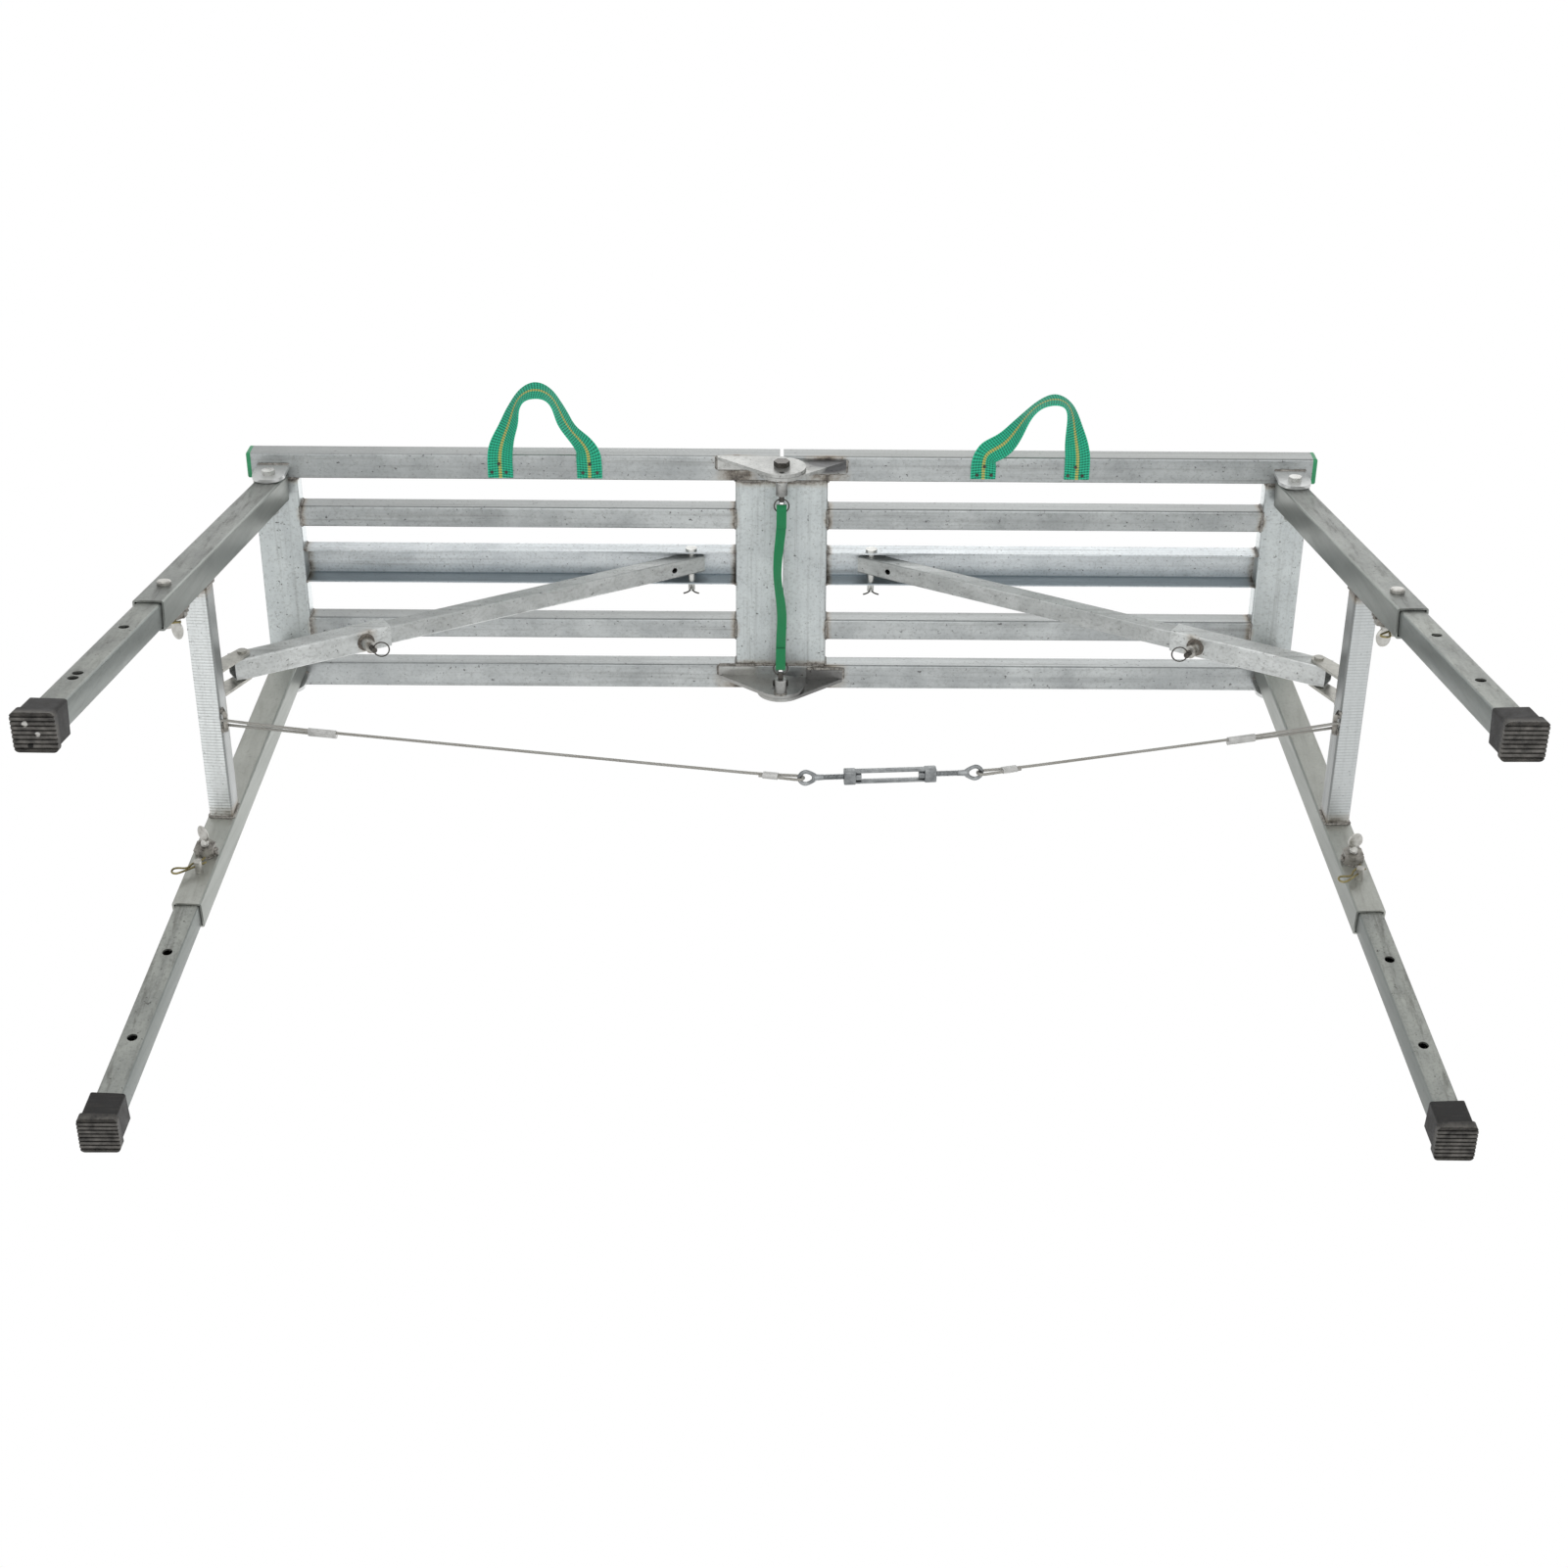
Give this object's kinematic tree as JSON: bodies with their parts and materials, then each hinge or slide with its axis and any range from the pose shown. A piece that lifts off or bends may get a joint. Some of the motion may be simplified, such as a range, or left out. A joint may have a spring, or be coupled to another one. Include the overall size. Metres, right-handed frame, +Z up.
{
  "type": "folding work platform",
  "caption": "Folding work platform with a slatted metal deck, splayed telescopic legs, telescopic braces, a wire rope with a turnbuckle and webbing handles.",
  "frame": {"origin": "on the floor, under the middle of the object", "axes": "+Z up, +X along the deck, -Y toward the side with the carrying handles"},
  "size_m": [1.2674, 0.4498, 0.8146],
  "materials": {
    "zinc_rail": "galvanised steel tube, dull",
    "zinc_leg": "galvanised steel tube, dull, scratched",
    "dark_steel": "dark steel with weld marks",
    "bolt_zinc": "bright zinc fasteners",
    "yellow_zinc": "yellow zinc wire",
    "rubber": "ribbed black rubber",
    "green_plastic": "green plug",
    "webbing": "green webbing with a yellow stripe",
    "wire_rope": "stranded steel wire rope",
    "ferrule": "crimped sleeve"
  },
  "bodies": {
    "deck_left": {"left_rails": "zinc_rail", "left_slats": "zinc_rail", "left_channel": "zinc_rail", "left_cross_tubes": "zinc_rail", "left_end_caps": "green_plastic", "left_brackets": "zinc_rail", "left_bolts": "bolt_zinc", "left_handle": "webbing", "left_handle_rivets": "bolt_zinc", "release_strap": "webbing"},
    "deck_right": {"right_rails": "zinc_rail", "right_slats": "zinc_rail", "right_channel": "zinc_rail", "right_cross_tubes": "zinc_rail", "right_end_caps": "green_plastic", "right_brackets": "zinc_rail", "right_bolts": "bolt_zinc", "right_handle": "webbing", "right_handle_rivets": "bolt_zinc"},
    "hinge_lock_front": {"hinge_lock_front": "bolt_zinc"},
    "hinge_lock_back": {"hinge_lock_back": "bolt_zinc"},
    "left_leg_frame": {"left_leg_tubes": "zinc_leg", "left_crossbar": "zinc_leg", "left_leg_fittings": "dark_steel"},
    "left_brace_sleeve": {"left_brace_sleeve": "zinc_leg"},
    "left_brace_tube": {"left_brace_tube": "zinc_leg"},
    "left_brace_plunger": {"left_brace_plunger": "bolt_zinc"},
    "left_rope": {"left_rope": "wire_rope", "left_ferrules": "ferrule", "turnbuckle_eyes": "bolt_zinc"},
    "leg_left_front": {"inner_leg_left_front": "zinc_leg", "foot_left_front": "rubber"},
    "lock_pin_left_front": {"lock_pin_left_front": "bolt_zinc"},
    "clip_left_front": {"clip_left_front": "yellow_zinc"},
    "thumb_screw_left_front": {"thumb_screw_left_front": "dark_steel"},
    "leg_left_back": {"inner_leg_left_back": "zinc_leg", "foot_left_back": "rubber"},
    "lock_pin_left_back": {"lock_pin_left_back": "bolt_zinc"},
    "clip_left_back": {"clip_left_back": "yellow_zinc"},
    "thumb_screw_left_back": {"thumb_screw_left_back": "dark_steel"},
    "right_leg_frame": {"right_leg_tubes": "zinc_leg", "right_crossbar": "zinc_leg", "right_leg_fittings": "dark_steel"},
    "right_brace_sleeve": {"right_brace_sleeve": "zinc_leg"},
    "right_brace_tube": {"right_brace_tube": "zinc_leg"},
    "right_brace_plunger": {"right_brace_plunger": "bolt_zinc"},
    "right_rope": {"right_rope": "wire_rope", "right_ferrules": "ferrule"},
    "leg_right_front": {"inner_leg_right_front": "zinc_leg", "foot_right_front": "rubber"},
    "lock_pin_right_front": {"lock_pin_right_front": "bolt_zinc"},
    "clip_right_front": {"clip_right_front": "yellow_zinc"},
    "thumb_screw_right_front": {"thumb_screw_right_front": "dark_steel"},
    "leg_right_back": {"inner_leg_right_back": "zinc_leg", "foot_right_back": "rubber"},
    "lock_pin_right_back": {"lock_pin_right_back": "bolt_zinc"},
    "clip_right_back": {"clip_right_back": "yellow_zinc"},
    "thumb_screw_right_back": {"thumb_screw_right_back": "dark_steel"},
    "turnbuckle_body": {"turnbuckle_body": "bolt_zinc"}
  },
  "joints": [
    {"name": "deck_fold", "type": "hinge", "parent": "deck_left", "child": "deck_right", "pos_m": [0, 0, 0.75961], "axis": [0, -1, 0], "range_deg": [-60, 0], "deforming": ["release_strap"]},
    {"name": "hinge_lock_front", "type": "slide", "parent": "deck_right", "child": "hinge_lock_front", "axis": [0, -1, 0], "range_m": [-0.002, 0.0043], "stiffness_N_per_m": 400, "springref_m": 0.0043},
    {"name": "hinge_lock_back", "type": "slide", "parent": "deck_left", "child": "hinge_lock_back", "axis": [0, 1, 0], "range_m": [-0.002, 0.0043], "stiffness_N_per_m": 400, "springref_m": 0.0043},
    {"name": "left_leg_fold", "type": "hinge", "parent": "deck_left", "child": "left_leg_frame", "pos_m": [-0.57, 0, 0.75961], "axis": [0, -1, 0], "range_deg": [0, 91]},
    {"name": "left_brace_turn", "type": "hinge", "parent": "left_leg_frame", "child": "left_brace_sleeve", "pos_m": [-0.56397, -0.012, 0.52384], "axis": [0, 1, 0], "range_deg": [0, 115.14]},
    {"name": "left_brace_slide", "type": "slide", "parent": "left_brace_sleeve", "child": "left_brace_tube", "axis": [-0.8614, 0, -0.5079], "range_m": [0, 0.30231]},
    {"name": "left_brace_plunger", "type": "slide", "parent": "left_brace_sleeve", "child": "left_brace_plunger", "axis": [0.5079, 0, -0.8614], "range_m": [-0.0035, 0.0015], "stiffness_N_per_m": 400, "springref_m": -0.0035},
    {"name": "left_rope_turn", "type": "hinge", "parent": "left_leg_frame", "child": "left_rope", "pos_m": [-0.57036, 0.018, 0.45009], "axis": [0, 1, 0], "range_deg": [0, 138.78]},
    {"name": "extend_left_front", "type": "slide", "parent": "left_leg_frame", "child": "leg_left_front", "axis": [0.0588, 0.1253, 0.9904], "range_m": [-0.125, 0.25]},
    {"name": "lock_pin_left_front", "type": "slide", "parent": "left_leg_frame", "child": "lock_pin_left_front", "axis": [0.0074, -0.9921, 0.1251], "range_m": [0, 0.0065]},
    {"name": "clip_left_front", "type": "slide", "parent": "lock_pin_left_front", "child": "clip_left_front", "axis": [-0.8025, -0.0806, -0.5912], "range_m": [0, 0.036]},
    {"name": "thumb_screw_left_front", "type": "hinge", "parent": "left_leg_frame", "child": "thumb_screw_left_front", "pos_m": [-0.59165, -0.15612, 0.39516], "axis": [0.0074, -0.9921, 0.1251], "continuous": true},
    {"name": "extend_left_back", "type": "slide", "parent": "left_leg_frame", "child": "leg_left_back", "axis": [0.0588, -0.1253, 0.9904], "range_m": [-0.125, 0.25]},
    {"name": "lock_pin_left_back", "type": "slide", "parent": "left_leg_frame", "child": "lock_pin_left_back", "axis": [0.0074, 0.9921, 0.1251], "range_m": [0, 0.0065]},
    {"name": "clip_left_back", "type": "slide", "parent": "lock_pin_left_back", "child": "clip_left_back", "axis": [-0.8025, 0.0806, -0.5912], "range_m": [0, 0.036]},
    {"name": "thumb_screw_left_back", "type": "hinge", "parent": "left_leg_frame", "child": "thumb_screw_left_back", "pos_m": [-0.59165, 0.15612, 0.39516], "axis": [0.0074, 0.9921, 0.1251], "continuous": true},
    {"name": "right_leg_fold", "type": "hinge", "parent": "deck_right", "child": "right_leg_frame", "pos_m": [0.57, 0, 0.75961], "axis": [0, 1, 0], "range_deg": [0, 91]},
    {"name": "right_brace_turn", "type": "hinge", "parent": "right_leg_frame", "child": "right_brace_sleeve", "pos_m": [0.56397, -0.012, 0.52384], "axis": [0, -1, 0], "range_deg": [0, 115.14]},
    {"name": "right_brace_slide", "type": "slide", "parent": "right_brace_sleeve", "child": "right_brace_tube", "axis": [0.8614, 0, -0.5079], "range_m": [0, 0.30231]},
    {"name": "right_brace_plunger", "type": "slide", "parent": "right_brace_sleeve", "child": "right_brace_plunger", "axis": [-0.5079, 0, -0.8614], "range_m": [-0.0035, 0.0015], "stiffness_N_per_m": 400, "springref_m": -0.0035},
    {"name": "right_rope_turn", "type": "hinge", "parent": "right_leg_frame", "child": "right_rope", "pos_m": [0.57036, 0.0135, 0.45009], "axis": [0, -1, 0], "range_deg": [0, 74.62]},
    {"name": "extend_right_front", "type": "slide", "parent": "right_leg_frame", "child": "leg_right_front", "axis": [-0.0588, 0.1253, 0.9904], "range_m": [-0.125, 0.25]},
    {"name": "lock_pin_right_front", "type": "slide", "parent": "right_leg_frame", "child": "lock_pin_right_front", "axis": [-0.0074, -0.9921, 0.1251], "range_m": [0, 0.0065]},
    {"name": "clip_right_front", "type": "slide", "parent": "lock_pin_right_front", "child": "clip_right_front", "axis": [-0.7269, -0.0806, -0.682], "range_m": [0, 0.036]},
    {"name": "thumb_screw_right_front", "type": "hinge", "parent": "right_leg_frame", "child": "thumb_screw_right_front", "pos_m": [0.59165, -0.15612, 0.39516], "axis": [-0.0074, -0.9921, 0.1251], "continuous": true},
    {"name": "extend_right_back", "type": "slide", "parent": "right_leg_frame", "child": "leg_right_back", "axis": [-0.0588, -0.1253, 0.9904], "range_m": [-0.125, 0.25]},
    {"name": "lock_pin_right_back", "type": "slide", "parent": "right_leg_frame", "child": "lock_pin_right_back", "axis": [-0.0074, 0.9921, 0.1251], "range_m": [0, 0.0065]},
    {"name": "clip_right_back", "type": "slide", "parent": "lock_pin_right_back", "child": "clip_right_back", "axis": [-0.7269, 0.0806, -0.682], "range_m": [0, 0.036]},
    {"name": "thumb_screw_right_back", "type": "hinge", "parent": "right_leg_frame", "child": "thumb_screw_right_back", "pos_m": [0.59165, 0.15612, 0.39516], "axis": [-0.0074, 0.9921, 0.1251], "continuous": true},
    {"name": "turnbuckle_turn", "type": "hinge", "parent": "left_rope", "child": "turnbuckle_body", "pos_m": [0.026, 0.012, 0.32861], "axis": [0.997, 0, 0.0776], "continuous": true}
  ],
  "couplings": [
    {"joint": "left_brace_turn", "follows": "left_leg_fold", "ratio": 1.2653},
    {"joint": "left_brace_slide", "follows": "left_leg_fold", "m_per_rad": 0.19034},
    {"joint": "left_rope_turn", "follows": "left_leg_fold", "ratio": 1.525},
    {"joint": "right_brace_turn", "follows": "right_leg_fold", "ratio": 1.2653},
    {"joint": "right_brace_slide", "follows": "right_leg_fold", "m_per_rad": 0.19034},
    {"joint": "right_rope_turn", "follows": "right_leg_fold", "ratio": 0.82}
  ]
}
